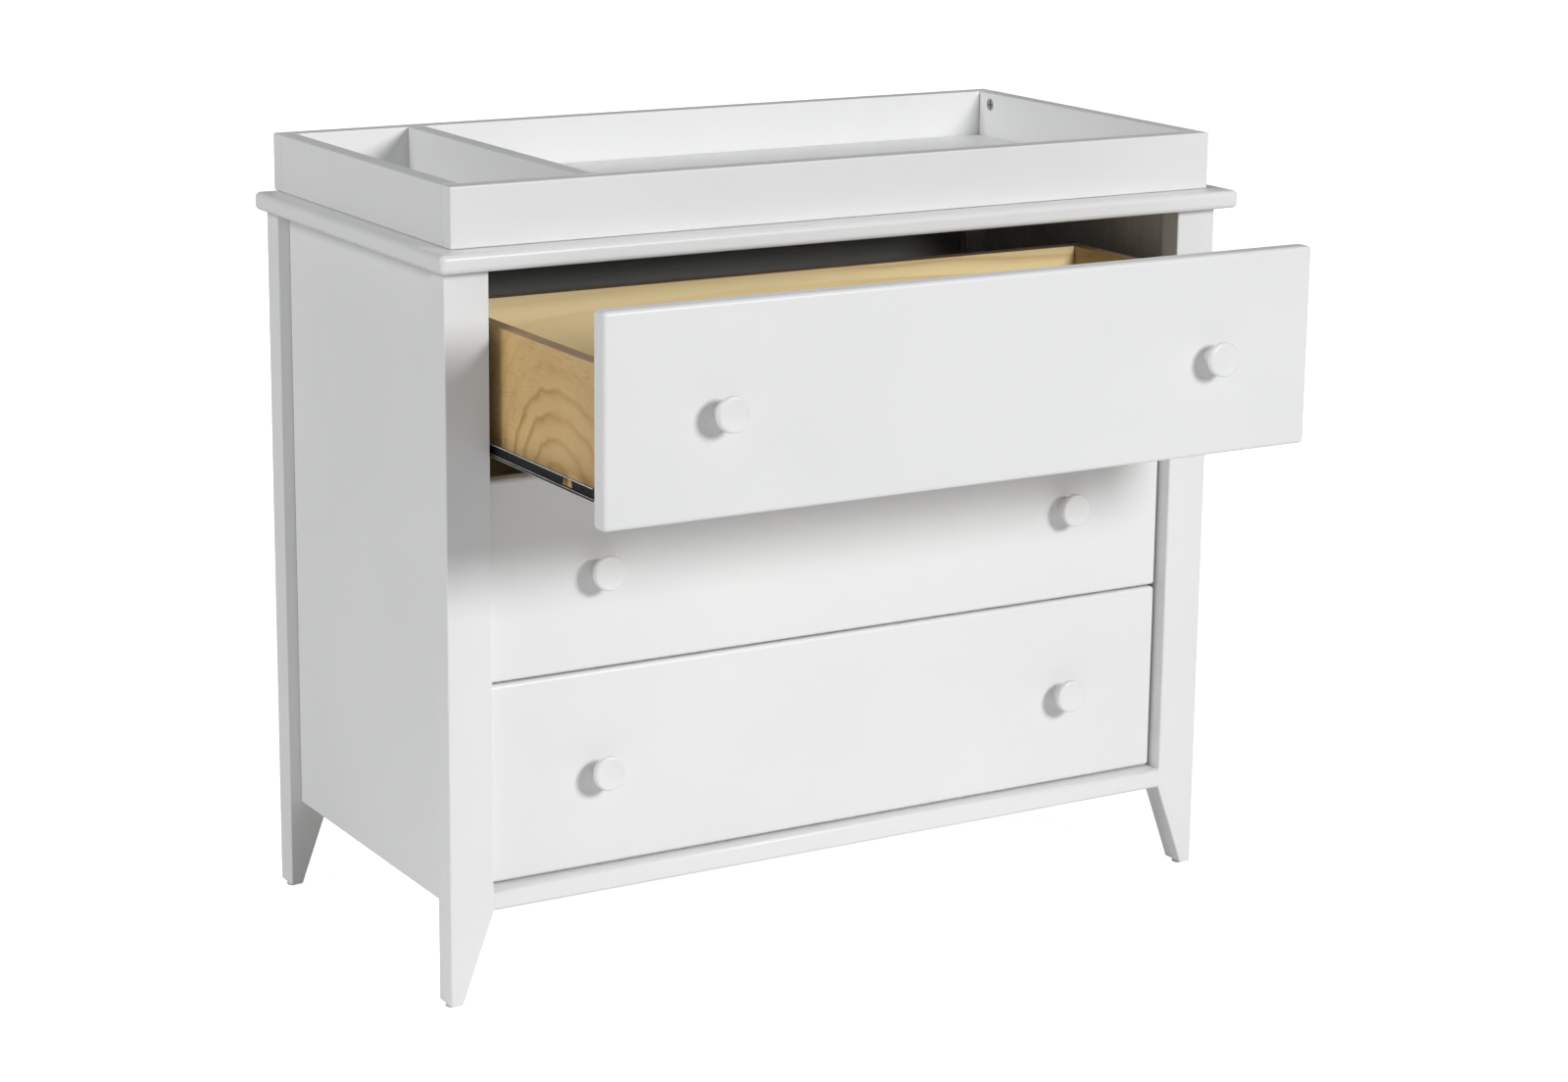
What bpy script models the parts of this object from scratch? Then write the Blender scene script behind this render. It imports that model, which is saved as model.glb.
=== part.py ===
"""Changing table: a three-drawer dresser with a lift-off changing tray.

Metres, +Z up, floor at z = 0. The front faces -Y; left (-X) and right (+X) are as seen from
the front. The top drawer is modelled pulled out by DRAWER_OPEN. The origin is on the floor,
under the middle of the whole object's box, the pulled-out drawer included.
"""
import math

import bpy
import bmesh
from mathutils import Matrix, Vector

# ---------------------------------------------------------------- driving dimensions
GAP = 0.0003                # clearance between pieces that touch
WIDTH = 0.950               # over the posts
DEPTH = 0.455               # over the posts
TOP_UNDERSIDE = 0.777       # floor to the underside of the dresser top
TOP_THICK = 0.020
TOP_SIDE_OVERHANG = 0.0145
TOP_FRONT_OVERHANG = 0.025

POST_WIDE = 0.050           # in front view
POST_DEEP = 0.030           # in side view
FOOT_WIDE = 0.014           # a leg's width at the bottom
TAPER_TOP = 0.1015          # height where a leg starts to taper
GLIDE_HEIGHT = 0.004
GLIDE_RADIUS = 0.0065

PANEL_RECESS = 0.014        # side panel behind the posts' outer faces
PANEL_THICK = 0.012
PANEL_RISE = 0.001          # side panel's bottom edge above TAPER_TOP
APRON_HEIGHT = 0.022
APRON_DEEP = 0.036          # reaches back under the lowest drawer front
APRON_RECESS = 0.0005       # apron behind the posts' front faces
APRON_GAP = 0.002           # apron to the lowest drawer front
RAIL_THICK = 0.020
RAIL_RECESS = 0.001         # rear bottom rail in front of the rear posts' back faces
BACK_THICK = 0.006
BACK_INSET = 0.012          # back panel in front of the rear posts' back faces
TOP_RAIL_SETBACK = 0.100    # front top rail behind the posts' front faces
TOP_RAIL_DEEP = 0.040
TOP_RAIL_HIGH = 0.018

TRAY_WIDTH = 0.931
TRAY_DEPTH = 0.4515
TRAY_HEIGHT = 0.063
TRAY_SETBACK = 0.003        # tray front behind the posts' front faces
TRAY_BOARD = 0.020
TRAY_FLOOR_THICK = 0.005
TRAY_FLOOR_RAISE = 0.0055   # floor panel's underside above the dresser top
TRAY_GROOVE_DEEP = 0.006
CADDY_WIDTH = 0.132         # clear width left of the divider

DRAWER_OPEN = 0.255         # how far the top drawer stands open
FRONT_RECESS = 0.016        # closed drawer front behind the posts' front faces
FRONT_THICK = 0.022
FRONT_HIGH = 0.2135
FRONT_GAP = 0.0025          # between two drawer fronts
FRONT_SIDE_GAP = 0.003      # between a front and a post

EDGE_ROUND = 0.002          # apron and tray boards
FINE_ROUND = 0.001          # rails and drawer boxes
POST_ROUND = 0.0015
TOP_ROUND = 0.005
FRONT_ROUND = 0.0045
GLIDE_ROUND = 0.0008

BOX_SIDE_GAP = 0.013        # post to drawer box, filled by the runner
BOX_BOARD = 0.016
BOX_RISE = 0.023            # box bottom above its front's bottom edge
BOX_HIGH = 0.134
BOX_LENGTH = 0.3895         # from the front's back face to the back board's rear face
BOX_FLOOR_THICK = 0.005
BOX_FLOOR_RISE = 0.008
BOX_GROOVE_DEEP = 0.005

KNOB_SPREAD = 0.293         # knob axis to the middle of the front
KNOB_OUT = 0.026
KNOB_RADIUS = 0.0185
KNOB_HEAD = 0.0075          # thickness of the round head
KNOB_SOFT = 0.0015          # rounding of the head's rim
KNOB_DISH = 0.0010          # how deep the face is dished
KNOB_LIP = 0.0030           # flat ring round the dished face
KNOB_NECK = 0.0080          # the neck's smallest radius
KNOB_FOOT = 0.0095          # the neck's radius against the drawer front

SLIDE_LENGTH = 0.350
SLIDE_START = 0.001         # runner's front end behind a closed front's back face
SLIDE_SHEET = 0.0012
SLIDE_RISE = 0.0325         # runner's middle above its front's bottom edge
CABINET_HALF = 0.0110       # half height of the cabinet member
CABINET_REACH = 0.0102      # post face to the cabinet member's lips
DRAWER_MEMBER_HALF = 0.0070
DRAWER_MEMBER_FLANGE = 0.0058
DRAWER_MEMBER_REACH = 0.0097
BRACKET_THICK = 0.0008
BRACKET_HALF = 0.0090
BRACKET_OVERLAP = 0.010
WINDOW_NEAR = 0.049         # the drawer member's window, from the member's front end
WINDOW_FAR = 0.072
WINDOW_HALF = 0.0042        # half the window's height
WINDOW_SLANT = 0.0020       # how much each end leans in at the top
CAGE_LENGTH = 0.080
CAGE_SHEET = 0.0006
CAGE_HALF = 0.0080
CAGE_REACH = 0.0070
CAGE_CLEAR = 0.0004         # cabinet member's web to the cage

# ---------------------------------------------------------------- levels and planes
KNOB_FACE_REACH = DRAWER_OPEN + KNOB_OUT - FRONT_RECESS
FRONT_Y = (KNOB_FACE_REACH - DEPTH) / 2          # the posts' front faces
REAR_Y = FRONT_Y + DEPTH
OUTER_X = WIDTH / 2
INNER_X = OUTER_X - POST_WIDE                    # a post's inner face
BACK_PANEL_Y = REAR_Y - BACK_INSET - BACK_THICK  # the back panel's inner face
TOP_Z = TOP_UNDERSIDE + TOP_THICK
APRON_TOP = TAPER_TOP + APRON_HEIGHT
FIRST_FRONT_Z = APRON_TOP + APRON_GAP
FRONT_PITCH = FRONT_HIGH + FRONT_GAP
BOX_OUTER_X = INNER_X - BOX_SIDE_GAP
SIDES = {"left": -1, "right": 1}
ENDS = {"front": FRONT_Y, "rear": REAR_Y - POST_DEEP}

DRAWERS = {"bottom": 0, "middle": 1, "top": 2}


# ---------------------------------------------------------------- scene set-up
def clear_scene():
    for obj in list(bpy.data.objects):
        bpy.data.objects.remove(obj, do_unlink=True)


def new_collection(name):
    collection = bpy.data.collections.new(name)
    bpy.context.scene.collection.children.link(collection)
    return collection


def principled(name, colour, roughness, metallic=0.0):
    material = bpy.data.materials.new(name)
    material.use_nodes = True
    shader = material.node_tree.nodes["Principled BSDF"]
    shader.inputs["Base Color"].default_value = (*colour, 1.0)
    shader.inputs["Roughness"].default_value = roughness
    shader.inputs["Metallic"].default_value = metallic
    return material


clear_scene()
PARTS = new_collection("changing_table")
CUTTERS = new_collection("cutters")

WHITE_PAINT = principled("white_paint", (0.80, 0.80, 0.80), 0.42)
PLYWOOD = principled("plywood", (0.58, 0.43, 0.24), 0.55)
RAW_WOOD = principled("raw_wood", (0.40, 0.30, 0.18), 0.70)
BLACK_STEEL = principled("black_steel", (0.02, 0.02, 0.02), 0.35, 0.8)
ZINC = principled("zinc", (0.60, 0.61, 0.62), 0.30, 1.0)
GLIDE_PLASTIC = principled("glide_plastic", (0.62, 0.62, 0.62), 0.50)


# ---------------------------------------------------------------- modelling helpers
def add_mesh_object(name, mesh, material, collection=None):
    obj = bpy.data.objects.new(name, mesh)
    (collection or PARTS).objects.link(obj)
    obj.data.materials.clear()
    if material:
        obj.data.materials.append(material)
    return obj


def round_edges(obj, width, segments=2):
    bevel = obj.modifiers.new("round_edges", "BEVEL")
    bevel.width = width
    bevel.segments = segments
    bevel.limit_method = "ANGLE"
    bevel.angle_limit = math.radians(40)
    return obj


def box_mesh(name, size):
    mesh = bpy.data.meshes.new(name)
    shape = bmesh.new()
    bmesh.ops.create_cube(shape, size=1.0, matrix=Matrix.Diagonal((*size, 1.0)))
    shape.to_mesh(mesh)
    shape.free()
    return mesh


def board(name, low, high, material, rounding=0.0, segments=2, collection=None):
    """A board between two opposite corners."""
    low, high = Vector(low), Vector(high)
    obj = add_mesh_object(name, box_mesh(name, high - low), material, collection)
    obj.location = (low + high) / 2
    if rounding:
        round_edges(obj, rounding, segments)
    return obj


def combine(obj, tool, operation):
    """Cuts a hidden tool object out of obj (DIFFERENCE) or adds it (UNION)."""
    tool.hide_render = True
    tool.display_type = "WIRE"
    boolean = obj.modifiers.new(tool.name, "BOOLEAN")
    boolean.operation = operation
    boolean.object = tool
    return obj


def outline_mesh(name, outline, length):
    """A closed XZ outline drawn out along Y, centred on y = 0, as a welded mesh."""
    curve = bpy.data.curves.new(name, "CURVE")
    curve.dimensions = "2D"
    curve.fill_mode = "BOTH"
    curve.extrude = length / 2
    spline = curve.splines.new("POLY")
    spline.points.add(len(outline) - 1)
    for point, (x, z) in zip(spline.points, outline):
        point.co = (x, z, 0.0, 1.0)
    spline.use_cyclic_u = True
    holder = bpy.data.objects.new(name + "_outline", curve)
    PARTS.objects.link(holder)
    holder.rotation_euler = (math.pi / 2, 0.0, 0.0)
    bpy.context.view_layer.update()
    evaluated = holder.evaluated_get(bpy.context.evaluated_depsgraph_get())
    mesh = bpy.data.meshes.new_from_object(evaluated)
    mesh.transform(holder.matrix_world)
    bpy.data.objects.remove(holder, do_unlink=True)
    bpy.data.curves.remove(curve)
    shape = bmesh.new()
    shape.from_mesh(mesh)
    bmesh.ops.remove_doubles(shape, verts=shape.verts, dist=1e-6)
    bmesh.ops.recalc_face_normals(shape, faces=shape.faces)
    shape.to_mesh(mesh)
    shape.free()
    mesh.name = name
    return mesh


def extrusion(name, outline, y_low, y_high, material, place=(0.0, 0.0)):
    """An XZ outline drawn out from y_low to y_high, shifted by place in X and Z."""
    obj = add_mesh_object(name, outline_mesh(name, outline, y_high - y_low), material)
    obj.location = (place[0], (y_low + y_high) / 2, place[1])
    return obj


def mirrored(outline, sign):
    return [(sign * x, z) for x, z in outline]


def turned(name, profile, material, steps=24):
    """A profile of (radius, height) pairs, top to bottom, turned about local Z."""
    mesh = bpy.data.meshes.new(name)
    shape = bmesh.new()
    verts = [shape.verts.new((radius, 0.0, height)) for radius, height in profile]
    for first, second in zip(verts, verts[1:]):
        shape.edges.new((first, second))
    shape.to_mesh(mesh)
    shape.free()
    obj = add_mesh_object(name, mesh, material)
    screw = obj.modifiers.new("turn", "SCREW")
    screw.axis = "Z"
    screw.steps = steps
    screw.render_steps = steps
    screw.use_merge_vertices = True
    screw.merge_threshold = 0.0001
    screw.use_smooth_shade = True
    return obj


def arc(centre, radius, start, end, steps):
    """Points of an arc from start to end degrees, in the outline's plane."""
    angles = [math.radians(start + (end - start) * step / steps) for step in range(steps + 1)]
    return [(centre[0] + radius * math.cos(a), centre[1] + radius * math.sin(a)) for a in angles]


# ---------------------------------------------------------------- carcass
def make_post(end, side):
    """A post that tapers on its inner side below TAPER_TOP."""
    sign = SIDES[side]
    outline = mirrored([
        (OUTER_X, GLIDE_HEIGHT),
        (OUTER_X, TOP_UNDERSIDE - GAP),
        (INNER_X, TOP_UNDERSIDE - GAP),
        (INNER_X, TAPER_TOP),
        (OUTER_X - FOOT_WIDE, GLIDE_HEIGHT),
    ], sign)
    y_low = ENDS[end]
    post = extrusion(f"post_{end}_{side}", outline, y_low, y_low + POST_DEEP, WHITE_PAINT)
    round_edges(post, POST_ROUND)


def make_glide(end, side):
    """A domed plastic glide under the middle of a foot."""
    rim = GLIDE_HEIGHT - GAP
    profile = [
        (0.0, rim),
        (GLIDE_RADIUS, rim),
        (GLIDE_RADIUS, GLIDE_ROUND),
        (GLIDE_RADIUS - GLIDE_ROUND, 0.0),
        (0.0, 0.0),
    ]
    glide = turned(f"glide_{end}_{side}", profile, GLIDE_PLASTIC)
    glide.location = (SIDES[side] * (OUTER_X - FOOT_WIDE / 2), ENDS[end] + POST_DEEP / 2, 0.0)


def make_side_panel(side):
    sign = SIDES[side]
    faces = sorted(sign * (OUTER_X - PANEL_RECESS - inset) for inset in (0.0, PANEL_THICK))
    board(f"side_panel_{side}",
          (faces[0], FRONT_Y + POST_DEEP + GAP, TAPER_TOP + PANEL_RISE),
          (faces[1], REAR_Y - POST_DEEP - GAP, TOP_UNDERSIDE - GAP),
          WHITE_PAINT)


def make_carcass():
    for end in ENDS:
        for side in SIDES:
            make_post(end, side)
            make_glide(end, side)
    for side in SIDES:
        make_side_panel(side)
    reach = INNER_X - GAP
    board("dresser_top",
          (-OUTER_X - TOP_SIDE_OVERHANG, FRONT_Y - TOP_FRONT_OVERHANG, TOP_UNDERSIDE),
          (OUTER_X + TOP_SIDE_OVERHANG, REAR_Y, TOP_Z),
          WHITE_PAINT, rounding=TOP_ROUND, segments=3)
    board("front_apron",
          (-reach, FRONT_Y + APRON_RECESS, TAPER_TOP),
          (reach, FRONT_Y + APRON_RECESS + APRON_DEEP, APRON_TOP),
          WHITE_PAINT, rounding=EDGE_ROUND)
    board("rear_bottom_rail",
          (-reach, REAR_Y - RAIL_THICK - RAIL_RECESS, TAPER_TOP),
          (reach, REAR_Y - RAIL_RECESS, APRON_TOP),
          WHITE_PAINT, rounding=FINE_ROUND, segments=1)
    board("back_panel",
          (-reach, BACK_PANEL_Y, APRON_TOP + GAP),
          (reach, BACK_PANEL_Y + BACK_THICK, TOP_UNDERSIDE - GAP),
          WHITE_PAINT)
    rail_reach = OUTER_X - PANEL_RECESS - PANEL_THICK - GAP
    rail_y = FRONT_Y + TOP_RAIL_SETBACK
    board("top_front_rail",
          (-rail_reach, rail_y, TOP_UNDERSIDE - GAP - TOP_RAIL_HIGH),
          (rail_reach, rail_y + TOP_RAIL_DEEP, TOP_UNDERSIDE - GAP),
          RAW_WOOD, rounding=FINE_ROUND, segments=1)


# ---------------------------------------------------------------- changing tray
def make_tray():
    x_out = TRAY_WIDTH / 2
    y_front = FRONT_Y + TRAY_SETBACK
    y_rear = y_front + TRAY_DEPTH
    z_low = TOP_Z + GAP
    z_high = TOP_Z + TRAY_HEIGHT
    groove_low = TOP_Z + TRAY_FLOOR_RAISE
    groove_high = groove_low + TRAY_FLOOR_THICK
    for end, y_near in (("front", y_front), ("rear", y_rear - TRAY_BOARD)):
        long_board = board(f"tray_{end}_board", (-x_out, y_near, z_low),
                           (x_out, y_near + TRAY_BOARD, z_high), WHITE_PAINT, rounding=EDGE_ROUND)
        inner = y_near + TRAY_BOARD if end == "front" else y_near
        away = 1 if end == "front" else -1
        edges = sorted((inner - away * TRAY_GROOVE_DEEP, inner + away * TRAY_BOARD))
        slot = board(f"groove_{end}",
                     (-x_out + TRAY_BOARD - TRAY_GROOVE_DEEP, edges[0], groove_low - GAP),
                     (x_out - TRAY_BOARD + TRAY_GROOVE_DEEP, edges[1], groove_high + GAP),
                     None, collection=CUTTERS)
        combine(long_board, slot, "DIFFERENCE")
    for side, sign in SIDES.items():
        inner = x_out - TRAY_BOARD
        bottom = inner + TRAY_GROOVE_DEEP
        outline = mirrored([
            (x_out, z_low),
            (x_out, z_high - EDGE_ROUND),
            (x_out - EDGE_ROUND, z_high),
            (inner + EDGE_ROUND, z_high),
            (inner, z_high - EDGE_ROUND),
            (inner, groove_high + GAP),
            (bottom, groove_high + GAP),
            (bottom, groove_low - GAP),
            (inner, groove_low - GAP),
            (inner, z_low),
        ], sign)
        extrusion(f"tray_{side}_board", outline,
                  y_front + TRAY_BOARD + GAP, y_rear - TRAY_BOARD - GAP, WHITE_PAINT)
    tuck = TRAY_BOARD - TRAY_GROOVE_DEEP + GAP
    board("tray_floor", (-x_out + tuck, y_front + tuck, groove_low),
          (x_out - tuck, y_rear - tuck, groove_high), WHITE_PAINT)
    divider_x = -x_out + TRAY_BOARD + CADDY_WIDTH
    board("tray_divider", (divider_x, y_front + TRAY_BOARD + GAP, groove_high + GAP),
          (divider_x + TRAY_BOARD, y_rear - TRAY_BOARD - GAP, z_high), WHITE_PAINT, rounding=EDGE_ROUND)


# ---------------------------------------------------------------- drawers
def make_knob(name, x, y, z):
    """A turned knob: a waisted neck under a round head with a slightly dished face."""
    rim = KNOB_RADIUS - KNOB_SOFT
    head_low = KNOB_OUT - KNOB_HEAD
    profile = [(0.0, KNOB_OUT - KNOB_DISH), (KNOB_RADIUS - KNOB_LIP, KNOB_OUT)]
    profile += arc((rim, KNOB_OUT - KNOB_SOFT), KNOB_SOFT, 80, 0, 3)
    profile += arc((rim, head_low + KNOB_SOFT), KNOB_SOFT, 0, -80, 3)
    waist = head_low / 2
    profile += [
        ((rim + KNOB_NECK) / 2, head_low - KNOB_SOFT),
        (KNOB_NECK + KNOB_DISH, head_low * 2 / 3),
        (KNOB_NECK, waist),
        (KNOB_FOOT, GAP),
        (0.0, GAP),
    ]
    knob = turned(name, profile, WHITE_PAINT)
    knob.location = (x, y, z)
    knob.rotation_euler = (math.pi / 2, 0.0, 0.0)


def make_box_side(name, sign, y_low, y_high, z_low):
    """A drawer side with the groove that holds the bottom."""
    outer, inner = BOX_OUTER_X, BOX_OUTER_X - BOX_BOARD
    groove = inner + BOX_GROOVE_DEEP
    groove_low = z_low + BOX_FLOOR_RISE - GAP
    groove_high = z_low + BOX_FLOOR_RISE + BOX_FLOOR_THICK + GAP
    z_high = z_low + BOX_HIGH
    outline = mirrored([
        (outer, z_low),
        (outer, z_high - FINE_ROUND),
        (outer - FINE_ROUND, z_high),
        (inner + FINE_ROUND, z_high),
        (inner, z_high - FINE_ROUND),
        (inner, groove_high),
        (groove, groove_high),
        (groove, groove_low),
        (inner, groove_low),
        (inner, z_low),
    ], sign)
    extrusion(name, outline, y_low, y_high, PLYWOOD)


def make_drawer(level, row):
    opened = DRAWER_OPEN if level == "top" else 0.0
    front_y = FRONT_Y + FRONT_RECESS - opened
    back_of_front = front_y + FRONT_THICK
    z_front = FIRST_FRONT_Z + row * FRONT_PITCH
    name = f"drawer_{level}_"
    half = INNER_X - FRONT_SIDE_GAP
    board(name + "front", (-half, front_y, z_front), (half, back_of_front, z_front + FRONT_HIGH),
          WHITE_PAINT, rounding=FRONT_ROUND, segments=3)
    for side, sign in SIDES.items():
        make_knob(name + side + "_knob", sign * KNOB_SPREAD, front_y, z_front + FRONT_HIGH / 2)

    z_box = z_front + BOX_RISE
    y_start = back_of_front + GAP
    y_end = back_of_front + BOX_LENGTH
    for side, sign in SIDES.items():
        make_box_side(name + side + "_side", sign, y_start, y_end, z_box)
    inner = BOX_OUTER_X - BOX_BOARD
    floor_low = z_box + BOX_FLOOR_RISE
    floor_high = floor_low + BOX_FLOOR_THICK
    board(name + "back", (-inner + GAP, y_end - BOX_BOARD, floor_high + GAP),
          (inner - GAP, y_end, z_box + BOX_HIGH), PLYWOOD, rounding=FINE_ROUND, segments=1)
    floor_reach = inner + BOX_GROOVE_DEEP - GAP
    board(name + "bottom", (-floor_reach, y_start, floor_low), (floor_reach, y_end, floor_high), PLYWOOD)
    make_slides(level, back_of_front + opened, opened, z_front + SLIDE_RISE)


# ---------------------------------------------------------------- ball-bearing runners
def cabinet_outline():
    """A channel that opens away from the post, with lips that turn in over the balls."""
    sheet, half, reach = SLIDE_SHEET, CABINET_HALF, CABINET_REACH
    lip = half - 2 * sheet
    upper = [
        (reach, half),
        (reach, lip),
        (reach - sheet, lip),
        (reach - sheet, half - sheet),
        (GAP + sheet, half - sheet),
    ]
    lower = [(x, -z) for x, z in reversed(upper)]
    return upper + lower + [(GAP, -half), (GAP, half)]


def drawer_member_outline():
    """A hat section: web on the box side, flanges to the post, lips that turn out."""
    sheet, half, flange = SLIDE_SHEET, DRAWER_MEMBER_HALF, DRAWER_MEMBER_FLANGE
    web = BOX_SIDE_GAP - GAP
    lip = web - DRAWER_MEMBER_REACH
    upper = [
        (web, flange),
        (lip + sheet, flange),
        (lip + sheet, half),
        (lip, half),
        (lip, flange - sheet),
        (web - sheet, flange - sheet),
    ]
    lower = [(x, -z) for x, z in reversed(upper)]
    return upper + lower


def cage_outline():
    """A thin channel that wraps the drawer member's lips and carries the balls."""
    sheet, half = CAGE_SHEET, CAGE_HALF
    web = GAP + SLIDE_SHEET + CAGE_CLEAR
    upper = [(web + CAGE_REACH, half), (web + CAGE_REACH, half - sheet), (web + sheet, half - sheet)]
    lower = [(x, -z) for x, z in reversed(upper)]
    return upper + lower + [(web, -half), (web, half)]


def from_post(outline, sign):
    """Distances from a post's inner face, turned into X on that side."""
    return [(sign * (INNER_X - x), z) for x, z in outline]


def make_slides(level, closed_back_of_front, opened, z):
    """Both runners of one drawer; the ball cages have moved half as far as the drawer."""
    y_cabinet = closed_back_of_front + SLIDE_START
    y_member = y_cabinet - opened
    y_cage = y_cabinet + (SLIDE_LENGTH - CAGE_LENGTH) / 2 - opened / 2
    for side, sign in SIDES.items():
        name = f"slide_{level}_{side}_"
        cabinet = extrusion(name + "cabinet_member", from_post(cabinet_outline(), sign),
                            y_cabinet, y_cabinet + SLIDE_LENGTH, BLACK_STEEL, (0.0, z))
        add_rear_bracket(cabinet, sign, y_cabinet + SLIDE_LENGTH, z)
        member = extrusion(name + "drawer_member", from_post(drawer_member_outline(), sign),
                           y_member, y_member + SLIDE_LENGTH, BLACK_STEEL, (0.0, z))
        cut_service_slot(member, sign, y_member, z)
        extrusion(name + "ball_cage", from_post(cage_outline(), sign),
                  y_cage, y_cage + CAGE_LENGTH, ZINC, (0.0, z))


def add_rear_bracket(cabinet, sign, y_end, z):
    """A strap riveted to the cabinet member that reaches over the rear post."""
    middle = INNER_X - GAP - SLIDE_SHEET / 2
    faces = sorted(sign * (middle + half) for half in (-BRACKET_THICK / 2, BRACKET_THICK / 2))
    strap = board(cabinet.name + "_strap", (faces[0], y_end - BRACKET_OVERLAP, z - BRACKET_HALF),
                  (faces[1], BACK_PANEL_Y - 3 * GAP, z + BRACKET_HALF), None, collection=CUTTERS)
    combine(cabinet, strap, "UNION")


def cut_service_slot(member, sign, y_front, z):
    """The tapered window through the drawer member's web."""
    centre = y_front + (WINDOW_NEAR + WINDOW_FAR) / 2
    half = (WINDOW_FAR - WINDOW_NEAR) / 2
    through = 6 * SLIDE_SHEET
    mesh = box_mesh(member.name + "_window", (through, 2 * half, 2 * WINDOW_HALF))
    for vert in mesh.vertices:
        if vert.co.z > 0:
            vert.co.y *= (half - WINDOW_SLANT) / half
    window = add_mesh_object(member.name + "_window", mesh, None, CUTTERS)
    window.location = (sign * (INNER_X - BOX_SIDE_GAP + GAP + SLIDE_SHEET / 2), centre, z)
    combine(member, window, "DIFFERENCE")


make_carcass()
make_tray()
for drawer_level, drawer_row in DRAWERS.items():
    make_drawer(drawer_level, drawer_row)
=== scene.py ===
"""Looks of the changing table: a white three-drawer dresser with a lift-off changing tray.

The front faces -Y; left is -X and right is +X, as seen from the front.
"""
import math

import bmesh
import bpy
from mathutils import Matrix, Vector


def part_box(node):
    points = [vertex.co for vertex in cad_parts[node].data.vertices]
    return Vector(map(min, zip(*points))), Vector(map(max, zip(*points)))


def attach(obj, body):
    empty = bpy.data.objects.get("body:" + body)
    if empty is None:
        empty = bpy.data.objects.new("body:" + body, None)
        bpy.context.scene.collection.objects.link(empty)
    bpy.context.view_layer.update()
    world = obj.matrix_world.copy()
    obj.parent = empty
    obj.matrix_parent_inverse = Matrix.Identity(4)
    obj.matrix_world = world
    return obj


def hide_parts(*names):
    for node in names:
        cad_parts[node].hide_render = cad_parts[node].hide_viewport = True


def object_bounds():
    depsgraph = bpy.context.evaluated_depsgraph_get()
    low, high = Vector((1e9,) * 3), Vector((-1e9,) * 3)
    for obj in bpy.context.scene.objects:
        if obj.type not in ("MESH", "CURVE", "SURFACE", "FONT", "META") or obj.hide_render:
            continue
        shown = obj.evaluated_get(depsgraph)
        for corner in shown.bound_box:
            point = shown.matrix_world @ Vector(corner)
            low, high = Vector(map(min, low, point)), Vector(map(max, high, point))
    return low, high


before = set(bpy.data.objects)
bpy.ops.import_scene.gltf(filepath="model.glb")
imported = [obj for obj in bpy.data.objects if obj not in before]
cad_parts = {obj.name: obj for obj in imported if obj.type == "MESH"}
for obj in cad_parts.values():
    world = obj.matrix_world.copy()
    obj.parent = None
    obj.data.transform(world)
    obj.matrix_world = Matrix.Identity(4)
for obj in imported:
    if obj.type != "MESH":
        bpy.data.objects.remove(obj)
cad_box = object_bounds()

SIDES = {"left": -1, "right": 1}
LEVELS = ("bottom", "middle", "top")
GAP = 0.0003                  # between pieces that touch

# ---------------------------------------------------------------- driving sizes
FOOT_WIDE = 0.014             # a leg's width at the bottom
POST_ROUND = 0.0022
PANEL_ROUND = 0.0008
TOP_ROUND = 0.0060            # the dresser top's rounded edge
APRON_ROUND = 0.0030
TRAY_ROUND = 0.0016
FRONT_ROUND = 0.0045          # the drawer fronts' rounded edge
PLY_ROUND = 0.0007
PLY_LAYER = 0.0014            # one veneer in a plywood edge
FLOOR_SEAM = 0.0007           # seam round the tray's floor

KNOB_OUT = 0.026
KNOB_RADIUS = 0.0185
KNOB_HEAD = 0.0078
KNOB_RIM = 0.0026             # rounding of the head's rim
KNOB_DISH = 0.0013
KNOB_NECK = 0.0082

CAM_RADIUS = 0.0072           # cam locks of the tray
CAM_BELOW_TOP = 0.0140
CAM_FROM_END = 0.0230
CAM_SUNK = 0.0005
CAM_CLEARANCE = 0.0002        # round a cam lock in its hole
CAM_HOLE_DEPTH = 0.006
BOX_CAM_RADIUS = 0.0060       # cam locks inside the drawer boxes
BOX_CAM_FROM_END = 0.0240
BOX_CAM_FROM_BOTTOM = 0.040   # the lower one in a box side
BOX_CAM_FROM_TOP = 0.030      # and the upper one
BOX_CAM_HOLE_DEPTH = 0.005

BACK_SCREW_EDGE = 0.012       # back panel's screws from its edges
BACK_SCREW_COLUMNS = 6
BACK_SCREW_ROWS = 5
BACK_SCREW_HEAD = (0.0036, 0.0014)      # radius and height, as for all the heads
KNOB_SCREW_HEAD = (0.0045, 0.0024)

STEEL = 0.0012                # runner sheet
BEND = 0.0011                 # bend radius of the sheet's middle line
MEMBER_DEPTH = 0.0043         # drawer member, lips to web
MEMBER_LIP = 0.0066           # the upper lip above the middle
MEMBER_LOWER_LIP = 0.0072     # the lower lip below it
MEMBER_FLANGE = 0.0052        # half height over the flanges' middle line
LIP_BEAD = 0.0006             # the lower lip's sheared edge in bare steel, made bright also as a painted highlight along the lip
MEMBER_FROM_POST = 0.0030     # post's inner face to the lips
WINDOW_NEAR = 0.049           # window in the member's web, from its front end
WINDOW_FAR = 0.072
WINDOW_SLANT = 0.0020
MEMBER_SCREWS = (0.028, 0.194, 0.318)   # from the member's front end
MEMBER_SCREW_HEAD = (0.0030, 0.0008)
MEMBER_FOOT = (0.0015, 0.0019)          # radius of a pressed foot at the box side and at the web
CABINET_DEPTH = 0.0099        # cabinet member, its web to its flanges' edges
CABINET_SCREWS = (0.0145, 0.150)
CABINET_SCREW_HEAD = (0.0040, 0.0003)   # countersunk, since the ball cage passes over it
STRAP_HALF = 0.009            # half height of the strap to the rear post
STRAP_FROM_POST = 0.0004
STRAP_LAP = 0.010             # how far it laps onto the cabinet member
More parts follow.
